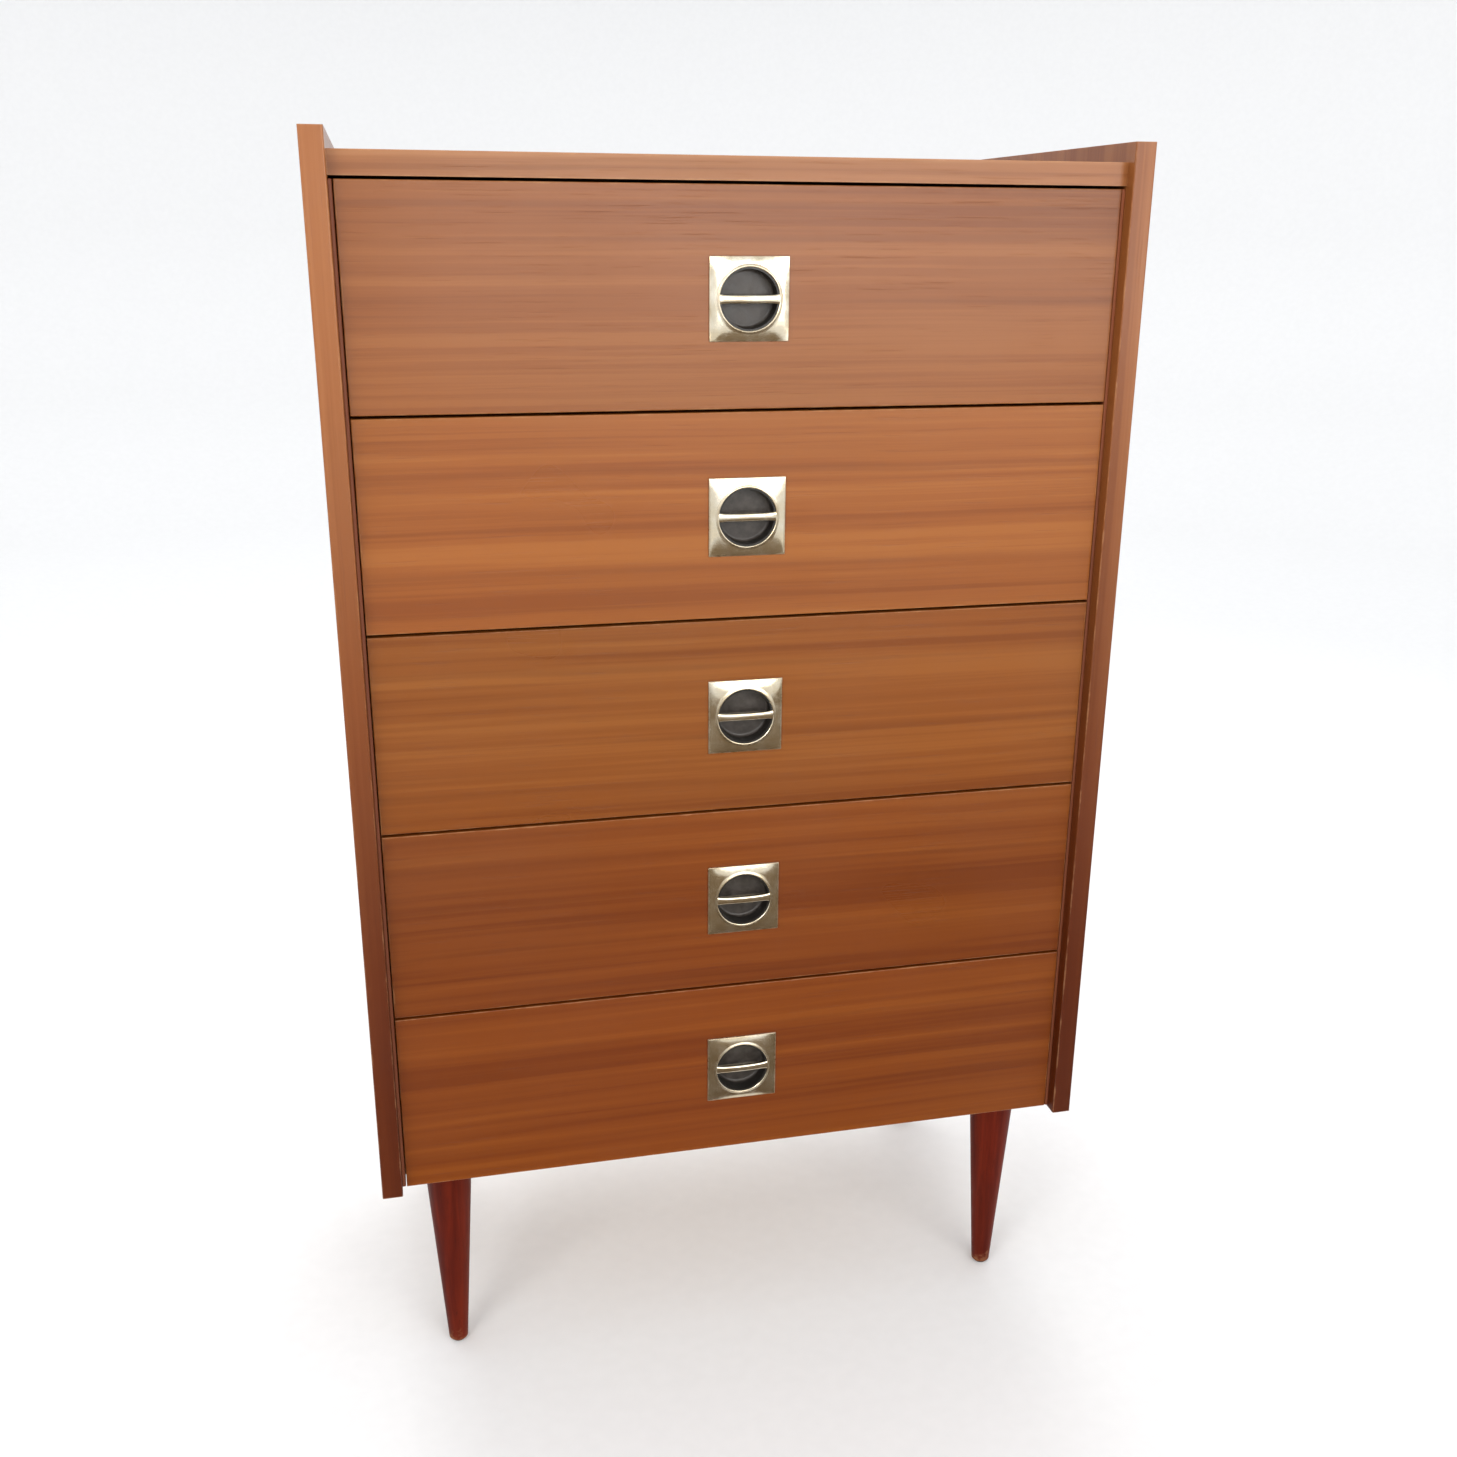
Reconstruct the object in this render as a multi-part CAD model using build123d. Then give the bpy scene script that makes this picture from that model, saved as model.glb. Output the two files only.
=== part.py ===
from build123d import *
import math
import os

# Tall chest of drawers on turned legs: a veneered board carcass whose two sides stand above the top
# and in front of the drawers, five equal drawers on wooden side runners, and a square metal pull
# with a black finger cup on each. Millimetres, +Z up, origin on the floor under the middle of the
# chest. The drawers face -Y, and +X is to the right of someone who faces the chest.

os.makedirs("parts", exist_ok=True)

# ---- carcass ----
WIDTH = 700.0                    # over the outer faces of the sides
DEPTH = 400.0                    # front edge to back edge of the sides
HEIGHT = 1160.0                  # floor to the top edges of the sides
SIDE_BOTTOM = 218.0              # floor to the bottom edges of the sides
BOARD = 19.0                     # veneered board: sides, top and bottom
FRONT_RECESS = 12.0              # drawer fronts and top stand this far behind the sides' front edges
TOP_DROP = 16.0                  # top surface below the top edges of the sides
EDGE_ROUND = 1.5                 # rounding of the sides' front edges
BACK_THICK = 4.0                 # hardboard back
BACK_REBATE = 8.0                # lap of the back over each side
BACK_INSET = 1.0                 # outer face of the back inside the back edges of the sides
PLAY = 0.2                       # working clearance in grooves, rebates and bores

# ---- drawers ----
DRAWERS = 5
FRONT_HEIGHT = 178.5
FRONT_THICK = 18.0
FRONT_SIDE_GAP = 4.0             # drawer front to carcass side
FRONT_GAP = 2.5                  # between one drawer front and the next
FRONT_EDGE_ROUND = 0.8
BOX_SIDE_GAP = 8.0               # drawer box to carcass side
BOX_BOTTOM_RISE = 22.0           # box above the bottom edge of its front
BOX_HEIGHT = 140.0
BOX_WALL = 12.0
BOX_TOP_ROUND = 2.0
BOX_REAR = 186.0                 # Y of the rear ends of the box sides
BOX_BACK_INSET = 10.0            # box back in front of those ends
BOX_BACK_DROP = 10.0             # box back lower than the box sides
BOX_BOTTOM_THICK = 4.0
BOX_BOTTOM_LIFT = 8.0            # underside of the box bottom above the box's lower edge
PLOUGH = 5.0                     # depth of the grooves that hold the box bottom and the box back
TAIL_NECK = 7.0                  # sliding dovetail: width at its neck, at its end, and its length
TAIL_END = 9.5
TAIL_LENGTH = 9.0

# ---- runners ----
RUNNER_HEIGHT = 16.0
RUNNER_LIFT = 62.0               # underside of the runner above the box's lower edge
RUNNER_REAR = 184.0
RUNNER_GROOVE_DEPTH = 6.0
RUNNER_SIDE_PLAY = 0.5
RUNNER_UNDER_PLAY = 0.7
RUNNER_NOSE = 3.0                # chamfer at the rear end
RUNNER_SCREW_Y = (-150.0, 10.0, 165.0)
RUNNER_SCREW_LENGTH = 25.0

# ---- carcass dowels and back pins ----
DOWEL_R = 4.0
DOWEL_IN_SIDE = 12.0
DOWEL_IN_BOARD = 18.0
DOWEL_Y = (-140.0, 0.0, 140.0)
PIN_R = 0.8
PIN_LENGTH = 20.0
PIN_HEAD_R = 2.0
PIN_HEAD_THICK = 0.6
PIN_ROWS = 8                     # pins up each side of the back
PIN_COLUMNS_X = (-200.0, 0.0, 200.0)

# ---- legs ----
LEG_X = 287.0
LEG_Y = 143.0
LEG_TOP_R = 23.5
LEG_FOOT_R = 9.5
LEG_TOP_ROUND = 2.0
LEG_FOOT_ROUND = 1.0
PLATE = 50.0                     # square steel plate over each leg
PLATE_THICK = 2.5
PLATE_CORNER_R = 5.0
PLATE_SCREW = 18.5               # plate centre to each screw, along X and along Y
PLATE_SCREW_LENGTH = 16.0
PLATE_BOSS_R = 7.0
PLATE_BOSS_HEIGHT = 8.0
BOLT_R = 4.0
BOLT_IN_LEG = 28.0
BOLT_IN_BOSS = 7.0
GLIDE_R = 7.0
GLIDE_THICK = 3.0
GLIDE_ROUND = 1.2
GLIDE_NAIL_R = 1.25
GLIDE_NAIL_LENGTH = 12.0

# ---- countersunk wood screws ----
SCREW_R = 2.0
SCREW_HEAD_R = 4.0
SCREW_POINT = 3.0
SCREW_TIP_R = 0.3
SCREW_SINK = 0.5                 # runner screw heads below the face of the runner

# ---- pull ----
PULL_PLATE = 68.0
PULL_CORNER_R = 1.2
PULL_HOLE_R = 25.5
PULL_CROWN = 4.5                 # plate thickness if its dome ran on to the middle
PULL_CORNER = 1.5                # plate thickness at its corners
COLLAR_DEPTH = 6.0
BAR_HEIGHT = 7.0
BAR_PROUD = 5.2                  # front of the bar in front of the drawer front, at its middle
BAR_SINK = 1.5                   # back of the bar behind the face of the drawer front
BAR_BOW_R = 200.0
BAR_ROUND = 2.4
BOSS = 27.0                      # pull centre to each screw boss, along X and along Z
BOSS_R = 3.5
BOSS_DEPTH = 8.0
CUP_DEPTH = 13.5
CUP_WALL = 1.4
CUP_RIM = 2.9                    # cup rim in front of the drawer front
CUP_ROUND = 4.0
MACHINE_SCREW_R = 2.0
MACHINE_SCREW_IN = 3.0           # end of the screw behind the face of the drawer front
MACHINE_HEAD_R = 4.0
MACHINE_HEAD_THICK = 2.6
MACHINE_HEAD_ROUND = 1.2
SLOT_WIDTH = 1.0
SLOT_DEPTH = 1.2

# ---- places worked out from them ----
FRONT_Y = -DEPTH / 2
FACE_Y = FRONT_Y + FRONT_RECESS
FRONT_BACK_Y = FACE_Y + FRONT_THICK
REAR_Y = DEPTH / 2
BACK_OUTER_Y = REAR_Y - BACK_INSET
BACK_INNER_Y = BACK_OUTER_Y - BACK_THICK
INNER_X = WIDTH / 2 - BOARD
TOP_Z = HEIGHT - TOP_DROP
TOP_UNDER_Z = TOP_Z - BOARD
FRONT_HALF = INNER_X - FRONT_SIDE_GAP
DRAWER_PITCH = FRONT_HEIGHT + FRONT_GAP
FIRST_FRONT_Z = TOP_UNDER_Z - DRAWER_PITCH           # bottom edge of the topmost drawer front
BOTTOM_UNDER_Z = TOP_UNDER_Z - DRAWERS * DRAWER_PITCH + 1.0
PLATE_UNDER_Z = BOTTOM_UNDER_Z - PLATE_THICK
BOX_X = INNER_X - BOX_SIDE_GAP
BOX_INNER_X = BOX_X - BOX_WALL
BOX_Z = FIRST_FRONT_Z + BOX_BOTTOM_RISE              # lower edge of the topmost drawer box
BOX_TOP_Z = BOX_Z + BOX_HEIGHT
BOX_BACK_Y = BOX_REAR - BOX_BACK_INSET - BOX_WALL    # front face of the box back
PULL_Z = FIRST_FRONT_Z + FRONT_HEIGHT / 2
PAST = 1.0                                           # how far a cutter runs past the surface it opens


def block(x, y, z):
    """A box between two values along each axis."""
    size = (x[1] - x[0], y[1] - y[0], z[1] - z[0])
    middle = ((x[0] + x[1]) / 2, (y[0] + y[1]) / 2, (z[0] + z[1]) / 2)
    return Pos(*middle) * Box(*size)


def rod(radius, start, end):
    """A round rod from one point to another."""
    foot = Vector(*start)
    axis = Vector(*end) - foot
    lying = Cylinder(radius, axis.length, align=(Align.CENTER, Align.CENTER, Align.MIN))
    return Plane(origin=foot, z_dir=axis) * lying


def turned(outline):
    """A piece turned about the Z axis from (radius, height) points."""
    return revolve(make_face(Plane.XZ * Polyline(*outline, close=True)), Axis.Z)


def round_edges(shape):
    return shape.edges().filter_by(GeomType.CIRCLE)


def flipped(shape):
    """The same piece for the other side of the chest."""
    return mirror(shape, about=Plane.YZ)


def save(shape, name):
    export_step(shape, f"parts/{name}.step")


def save_group(solids, name):
    """Identical small parts in one node, each a separate solid."""
    save(Compound(children=list(solids)), name)


# ---- fasteners ----
def wood_screw(head, direction, length):
    """A countersunk wood screw: the middle of its head's face, the way it points and its length."""
    screw = turned([
        (0, 0),
        (SCREW_HEAD_R, 0),
        (SCREW_R, SCREW_HEAD_R - SCREW_R),
        (SCREW_R, length - SCREW_POINT),
        (SCREW_TIP_R, length),
        (0, length),
    ])
    return Plane(origin=Vector(*head), z_dir=Vector(*direction)) * screw


def dowel_places():
    """Y and Z of each dowel across the joint with the right-hand side."""
    for board_under in (TOP_UNDER_Z, BOTTOM_UNDER_Z):
        for y in DOWEL_Y:
            yield y, board_under + BOARD / 2


def dowel(y, z, play=0.0):
    """A dowel across the joint with the right-hand side, or the bore for it when it has play."""
    start = (INNER_X - DOWEL_IN_BOARD - play, y, z)
    end = (INNER_X + DOWEL_IN_SIDE + play, y, z)
    return rod(DOWEL_R + play / 2, start, end)


def back_pin(x, z):
    """A round-headed pin through the back panel."""
    shank = rod(PIN_R, (x, BACK_OUTER_Y, z), (x, BACK_OUTER_Y - PIN_LENGTH, z))
    head_y = BACK_OUTER_Y + PIN_HEAD_THICK
    return shank + rod(PIN_HEAD_R, (x, BACK_OUTER_Y, z), (x, head_y, z))


def back_pins():
    """The pins, sorted by the piece they are driven into."""
    side_x = INNER_X + BACK_REBATE / 2
    low = BOTTOM_UNDER_Z + BOARD / 2
    high = TOP_UNDER_Z + BOARD / 2
    heights = [low + (high - low) * row / (PIN_ROWS - 1) for row in range(PIN_ROWS)]
    return {
        "right": [back_pin(side_x, z) for z in heights],
        "left": [back_pin(-side_x, z) for z in heights],
        "bottom": [back_pin(x, low) for x in PIN_COLUMNS_X],
        "top": [back_pin(x, high) for x in PIN_COLUMNS_X],
    }


# ---- carcass ----
def right_side(fixings):
    shape = block((INNER_X, WIDTH / 2), (FRONT_Y, REAR_Y), (SIDE_BOTTOM, HEIGHT))
    shape = fillet(shape.edges().filter_by(Axis.Z).group_by(Axis.Y)[0], EDGE_ROUND)
    shape -= block(
        (INNER_X - PAST, INNER_X + BACK_REBATE),
        (BACK_INNER_Y, REAR_Y + PAST),
        (BOTTOM_UNDER_Z, TOP_Z),
    )
    shape -= [dowel(y, z, PLAY) for y, z in dowel_places()]
    return shape - fixings


def flat_board(front, under, fixings):
    """The top or the bottom of the carcass, bored for dowels at both ends."""
    shape = block((-INNER_X, INNER_X), (front, BACK_INNER_Y), (under, under + BOARD))
    for y in DOWEL_Y:
        bore = dowel(y, under + BOARD / 2, PLAY)
        shape -= [bore, flipped(bore)]
    return shape - fixings


def back_panel(pins):
    half = INNER_X + BACK_REBATE - PLAY
    y = (BACK_INNER_Y, BACK_OUTER_Y)
    return block((-half, half), y, (BOTTOM_UNDER_Z + PLAY, TOP_Z - PLAY)) - pins


def runner_screws(drop):
    """The screws of one right-hand runner, which is that far below the topmost one."""
    x = INNER_X - RUNNER_GROOVE_DEPTH - BOX_SIDE_GAP + RUNNER_SIDE_PLAY + SCREW_SINK
    z = BOX_Z + RUNNER_LIFT + RUNNER_HEIGHT / 2 - drop
    return [wood_screw((x, y, z), (1, 0, 0), RUNNER_SCREW_LENGTH) for y in RUNNER_SCREW_Y]


def runner(drop):
    """A right-hand runner. Its front end is also the stop behind the closed drawer front."""
    inner = INNER_X - RUNNER_GROOVE_DEPTH - BOX_SIDE_GAP + RUNNER_SIDE_PLAY
    low = BOX_Z + RUNNER_LIFT - drop
    y = (FRONT_BACK_Y + RUNNER_SIDE_PLAY, RUNNER_REAR)
    shape = block((inner, INNER_X), y, (low, low + RUNNER_HEIGHT))
    shape = chamfer(shape.edges().filter_by(Axis.X).group_by(Axis.Y)[-1], RUNNER_NOSE)
    sinks = [
        rod(SCREW_HEAD_R, (inner - PAST, screw_y, low + RUNNER_HEIGHT / 2),
            (inner + SCREW_SINK, screw_y, low + RUNNER_HEIGHT / 2))
        for screw_y in RUNNER_SCREW_Y
    ]
    return shape - runner_screws(drop) - sinks


# ---- legs ----
def leg_places():
    for end, y in (("front", -LEG_Y), ("back", LEG_Y)):
        for hand, x in (("left", -LEG_X), ("right", LEG_X)):
            yield f"leg_{end}_{hand}", x, y


def leg_bolt():
    """A hanger bolt on the leg's axis, from the wood up into the threaded boss of the plate."""
    return rod(BOLT_R, (0, 0, PLATE_UNDER_Z - BOLT_IN_LEG), (0, 0, BOTTOM_UNDER_Z + BOLT_IN_BOSS))


def glide_nail():
    return rod(GLIDE_NAIL_R, (0, 0, GLIDE_THICK - PAST), (0, 0, GLIDE_THICK + GLIDE_NAIL_LENGTH))


def leg_glide():
    """A rounded plastic glide with its nail."""
    pad = rod(GLIDE_R, (0, 0, 0), (0, 0, GLIDE_THICK))
    return fillet(round_edges(pad).sort_by(Axis.Z)[0], GLIDE_ROUND) + glide_nail()


def leg():
    """A leg that tapers evenly to the foot, bored for its bolt and its glide."""
    shape = turned([
        (0, GLIDE_THICK), (LEG_FOOT_R, GLIDE_THICK), (LEG_TOP_R, PLATE_UNDER_Z), (0, PLATE_UNDER_Z)
    ])
    shape = fillet(round_edges(shape).sort_by(Axis.Z)[-1], LEG_TOP_ROUND)
    shape = fillet(round_edges(shape).sort_by(Axis.Z)[0], LEG_FOOT_ROUND)
    return shape - leg_bolt() - glide_nail()


def plate_screws():
    return [
        wood_screw((x, y, PLATE_UNDER_Z), (0, 0, 1), PLATE_SCREW_LENGTH)
        for x in (-PLATE_SCREW, PLATE_SCREW)
        for y in (-PLATE_SCREW, PLATE_SCREW)
    ]


def leg_plate():
    """A steel plate with a threaded boss that sits in a bore in the bottom board."""
    half = PLATE / 2
    shape = block((-half, half), (-half, half), (PLATE_UNDER_Z, BOTTOM_UNDER_Z))
    shape = fillet(shape.edges().filter_by(Axis.Z), PLATE_CORNER_R)
    boss_top = BOTTOM_UNDER_Z + PLATE_BOSS_HEIGHT
    shape += rod(PLATE_BOSS_R, (0, 0, PLATE_UNDER_Z), (0, 0, boss_top))
    shape -= rod(BOLT_R, (0, 0, PLATE_UNDER_Z - PAST), (0, 0, boss_top + PAST))
    return shape - plate_screws()


def boss_bore():
    """The bore in the bottom board for the threaded boss of a leg plate."""
    top = BOTTOM_UNDER_Z + PLATE_BOSS_HEIGHT + PLAY
    return rod(PLATE_BOSS_R + PLAY, (0, 0, BOTTOM_UNDER_Z - PAST), (0, 0, top))


# ---- drawer, drawn as the topmost one ----
def sliding_dovetail(low, high, play=0.0):
    """The upright dovetail at the front of the right-hand box side, or the groove for it."""
    middle = BOX_X - BOX_WALL / 2
    neck = TAIL_NECK / 2 + play
    end = TAIL_END / 2 + play
    outline = Polyline(
        (middle - neck, FRONT_BACK_Y),
        (middle + neck, FRONT_BACK_Y),
        (middle + end, FRONT_BACK_Y - TAIL_LENGTH - play),
        (middle - end, FRONT_BACK_Y - TAIL_LENGTH - play),
        close=True,
    )
    tail = extrude(make_face(outline), high - low, dir=(0, 0, 1))
    return Pos(0, 0, low) * tail


def bottom_groove(x, y):
    """The groove for the box bottom, over a stretch of x and y."""
    low = BOX_Z + BOX_BOTTOM_LIFT
    return block(x, y, (low, low + BOX_BOTTOM_THICK + PLAY))


def drawer_side():
    """The right-hand side of the drawer box, grooved outside for the runner."""
    shape = block((BOX_INNER_X, BOX_X), (FRONT_BACK_Y, BOX_REAR), (BOX_Z, BOX_TOP_Z))
    shape = fillet(shape.edges().filter_by(Axis.Y).group_by(Axis.Z)[-1], BOX_TOP_ROUND)
    low = BOX_Z + RUNNER_LIFT
    shape -= block(
        (BOX_X - RUNNER_GROOVE_DEPTH, BOX_X + PAST),
        (FRONT_BACK_Y - PAST, BOX_REAR + PAST),
        (low - RUNNER_UNDER_PLAY, low + RUNNER_HEIGHT + PLAY),
    )
    shape -= bottom_groove(
        (BOX_INNER_X - PAST, BOX_INNER_X + PLOUGH + PLAY), (FRONT_BACK_Y - PAST, BOX_BACK_Y + PAST)
    )
    shape -= block(
        (BOX_INNER_X - PAST, BOX_INNER_X + PLOUGH),
        (BOX_BACK_Y, BOX_BACK_Y + BOX_WALL),
        (BOX_Z - PAST, BOX_TOP_Z - BOX_BACK_DROP),
    )
    lower_tail = sliding_dovetail(BOX_Z + BOX_BOTTOM_LIFT + BOX_BOTTOM_THICK + PLAY, BOX_TOP_Z)
    return shape + lower_tail


def drawer_back():
    """The back of the drawer box, let into both sides and grooved for the bottom."""
    half = BOX_INNER_X + PLOUGH - PLAY
    y = (BOX_BACK_Y, BOX_BACK_Y + BOX_WALL)
    shape = block((-half, half), y, (BOX_Z, BOX_TOP_Z - BOX_BACK_DROP))
    shape = fillet(shape.edges().filter_by(Axis.X).group_by(Axis.Z)[-1], BOX_TOP_ROUND)
    return shape - bottom_groove((-half - PAST, half + PAST), (y[0] - PAST, y[0] + PLOUGH + PLAY))


def drawer_bottom():
    """The bottom, held in grooves on all four sides."""
    half = BOX_INNER_X + PLOUGH
    y = (FRONT_BACK_Y - PLOUGH, BOX_BACK_Y + PLOUGH)
    low = BOX_Z + BOX_BOTTOM_LIFT
    return block((-half, half), y, (low, low + BOX_BOTTOM_THICK))


def boss_places():
    """X and Z of the two screw bosses, in opposite corners of the pull."""
    return ((-BOSS, PULL_Z + BOSS), (BOSS, PULL_Z - BOSS))


def pull_screw(x, z):
    """A slotted pan-headed machine screw, driven from inside the drawer."""
    shank = rod(MACHINE_SCREW_R, (x, FRONT_BACK_Y, z), (x, FACE_Y + MACHINE_SCREW_IN, z))
    head_y = FRONT_BACK_Y + MACHINE_HEAD_THICK
    head = rod(MACHINE_HEAD_R, (x, FRONT_BACK_Y, z), (x, head_y, z))
    head = fillet(round_edges(head).sort_by(Axis.Y)[-1], MACHINE_HEAD_ROUND)
    slot = block(
        (x - MACHINE_HEAD_R, x + MACHINE_HEAD_R),
        (head_y - SLOT_DEPTH, head_y + PAST),
        (z - SLOT_WIDTH / 2, z + SLOT_WIDTH / 2),
    )
    return shank + head - slot


def drawer_front():
    top = FIRST_FRONT_Z + FRONT_HEIGHT
    shape = block((-FRONT_HALF, FRONT_HALF), (FACE_Y, FRONT_BACK_Y), (FIRST_FRONT_Z, top))
    shape = fillet(shape.faces().sort_by(Axis.Y)[0].edges(), FRONT_EDGE_ROUND)
    dovetail_groove = sliding_dovetail(FIRST_FRONT_Z - PAST, BOX_TOP_Z + PLAY, PLAY / 2)
    shape -= [dovetail_groove, flipped(dovetail_groove)]
    half = BOX_INNER_X + PLOUGH + PLAY
    shape -= bottom_groove((-half, half), (FRONT_BACK_Y - PLOUGH - PLAY, FRONT_BACK_Y + PAST))
    bore_end = FACE_Y + CUP_DEPTH + PLAY
    bore_r = PULL_HOLE_R + CUP_WALL + PLAY
    shape -= rod(bore_r, (0, FACE_Y - PAST, PULL_Z), (0, bore_end, PULL_Z))
    for x, z in boss_places():
        shape -= rod(BOSS_R + PLAY, (x, FACE_Y - PAST, z), (x, FACE_Y + BOSS_DEPTH + PLAY, z))
        shape -= rod(MACHINE_SCREW_R + PLAY, (x, FACE_Y, z), (x, FRONT_BACK_Y + PAST, z))
    return shape


# ---- pull ----
def pull_bar():
    """The finger bar across the hole, bowed to the front."""
    proud = FACE_Y - BAR_PROUD
    reach = PULL_HOLE_R + CUP_WALL / 2
    half = BAR_HEIGHT / 2
    shape = block((-reach, reach), (proud, FACE_Y + BAR_SINK), (PULL_Z - half, PULL_Z + half))
    middle_y = proud + BAR_BOW_R
    shape &= rod(BAR_BOW_R, (0, middle_y, PULL_Z - half), (0, middle_y, PULL_Z + half))
    return fillet(round_edges(shape), BAR_ROUND)


def pull_frame():
    """The square plate, domed to the front, with a collar round its hole, two bosses and the bar."""
    half = PULL_PLATE / 2
    crown = FACE_Y - PULL_CROWN
    shape = block((-half, half), (crown - PAST, FACE_Y), (PULL_Z - half, PULL_Z + half))
    shape = fillet(shape.edges().filter_by(Axis.Y), PULL_CORNER_R)
    rise = PULL_CROWN - PULL_CORNER
    dome_r = (2 * half**2 + rise**2) / (2 * rise)
    shape &= Pos(0, crown + dome_r, PULL_Z) * Sphere(dome_r)
    collar_r = PULL_HOLE_R + CUP_WALL
    shape += rod(collar_r, (0, FACE_Y - PULL_CORNER, PULL_Z), (0, FACE_Y + COLLAR_DEPTH, PULL_Z))
    shape -= rod(PULL_HOLE_R, (0, crown - PAST, PULL_Z), (0, FACE_Y + COLLAR_DEPTH + PAST, PULL_Z))
    for x, z in boss_places():
        shape += rod(BOSS_R, (x, FACE_Y, z), (x, FACE_Y + BOSS_DEPTH, z))
        shape -= rod(
            MACHINE_SCREW_R, (x, FACE_Y + MACHINE_SCREW_IN, z), (x, FACE_Y + BOSS_DEPTH + PAST, z)
        )
    return shape + pull_bar()


def pull_cup():
    """The black finger cup: a round dish behind the bar, notched where the ends of the bar pass."""
    outer = PULL_HOLE_R - PLAY / 2
    rim = FACE_Y - CUP_RIM
    floor = FACE_Y + CUP_DEPTH
    dish = rod(outer, (0, rim, PULL_Z), (0, floor, PULL_Z))
    dish = fillet(round_edges(dish).sort_by(Axis.Y)[-1], CUP_ROUND)
    hollow = rod(outer - CUP_WALL, (0, rim - PAST, PULL_Z), (0, floor - CUP_WALL, PULL_Z))
    hollow = fillet(round_edges(hollow).sort_by(Axis.Y)[-1], CUP_ROUND - CUP_WALL)
    half = BAR_HEIGHT / 2 + PLAY
    notch = block(
        (-outer - PAST, outer + PAST),
        (rim - PAST, FACE_Y + BAR_SINK + PLAY),
        (PULL_Z - half, PULL_Z + half),
    )
    return dish - hollow - notch


def save_carcass():
    pins = back_pins()
    every_pin = [pin for group in pins.values() for pin in group]
    save(back_panel(every_pin), "back_panel")
    save_group(every_pin, "back_panel_pins")

    drops = [number * DRAWER_PITCH for number in range(DRAWERS)]
    screws = [screw for drop in drops for screw in runner_screws(drop)]
    runners = [runner(drop) for drop in drops]
    save_group(runners, "runners_right")
    save_group([flipped(one) for one in runners], "runners_left")
    save_group(screws + [flipped(one) for one in screws], "runner_screws")

    side = right_side(screws + pins["right"])
    save(side, "side_right")
    save(flipped(side), "side_left")
    dowels = [dowel(y, z) for y, z in dowel_places()]
    save_group(dowels + [flipped(one) for one in dowels], "carcass_dowels")
    save(flat_board(FACE_Y, TOP_UNDER_Z, pins["top"]), "top_panel")

    places = [Pos(x, y, 0) for _, x, y in leg_places()]
    fixings = [place * screw for place in places for screw in plate_screws()]
    bores = [place * boss_bore() for place in places]
    front = FRONT_BACK_Y + PAST
    save(flat_board(front, BOTTOM_UNDER_Z, pins["bottom"] + fixings + bores), "bottom_panel")
    save_group(fixings, "leg_plate_screws")


def save_legs():
    turned_leg = leg()
    places = []
    for name, x, y in leg_places():
        save(Pos(x, y, 0) * turned_leg, name)
        places.append(Pos(x, y, 0))
    for name, piece in (("plates", leg_plate()), ("bolts", leg_bolt()), ("glides", leg_glide())):
        save_group([place * piece for place in places], f"leg_{name}")


def save_drawers():
    side = drawer_side()
    pieces = {
        "front": drawer_front(),
        "side_right": side,
        "side_left": flipped(side),
        "back": drawer_back(),
        "bottom": drawer_bottom(),
        "pull_frame": pull_frame(),
        "pull_cup": pull_cup(),
    }
    screws = [pull_screw(x, z) for x, z in boss_places()]
    for number in range(DRAWERS):
        lowered = Pos(0, 0, -number * DRAWER_PITCH)
        for piece, shape in pieces.items():
            save(lowered * shape, f"drawer_{number + 1}_{piece}")
        save_group([lowered * screw for screw in screws], f"drawer_{number + 1}_pull_screws")


save_carcass()
save_legs()
save_drawers()
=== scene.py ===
import math

import bmesh
import bpy
from mathutils import Matrix, Vector


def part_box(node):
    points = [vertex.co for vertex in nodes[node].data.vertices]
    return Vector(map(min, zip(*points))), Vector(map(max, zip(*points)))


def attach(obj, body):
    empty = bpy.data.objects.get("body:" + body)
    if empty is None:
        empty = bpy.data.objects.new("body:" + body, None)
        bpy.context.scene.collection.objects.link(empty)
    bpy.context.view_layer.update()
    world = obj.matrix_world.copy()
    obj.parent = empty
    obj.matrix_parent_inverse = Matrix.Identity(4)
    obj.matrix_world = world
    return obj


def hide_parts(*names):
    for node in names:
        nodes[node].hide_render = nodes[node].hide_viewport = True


# Tall chest of drawers: looks for its veneered boards, turned legs, brass pulls and drawer boxes.
# Metres. The drawers face -Y.

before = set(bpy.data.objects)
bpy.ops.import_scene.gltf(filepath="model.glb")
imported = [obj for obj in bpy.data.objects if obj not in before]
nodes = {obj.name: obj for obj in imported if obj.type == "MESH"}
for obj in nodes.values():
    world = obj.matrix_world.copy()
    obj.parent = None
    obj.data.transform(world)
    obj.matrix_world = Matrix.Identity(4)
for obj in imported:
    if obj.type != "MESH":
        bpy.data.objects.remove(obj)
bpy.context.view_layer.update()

MM = 0.001
DRAWERS = ("drawer_1", "drawer_2", "drawer_3", "drawer_4", "drawer_5")
LEGS = ("leg_front_left", "leg_front_right", "leg_back_left", "leg_back_right")
FACE_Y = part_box("drawer_1_front")[0].y      # the plane of the drawer fronts' faces
GRAIN_TURN = {
    "x": (0.0, 0.0, 0.0),
    "y": (0.0, 0.0, -math.pi / 2),
    "z": (0.0, math.pi / 2, 0.0),
}


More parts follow.
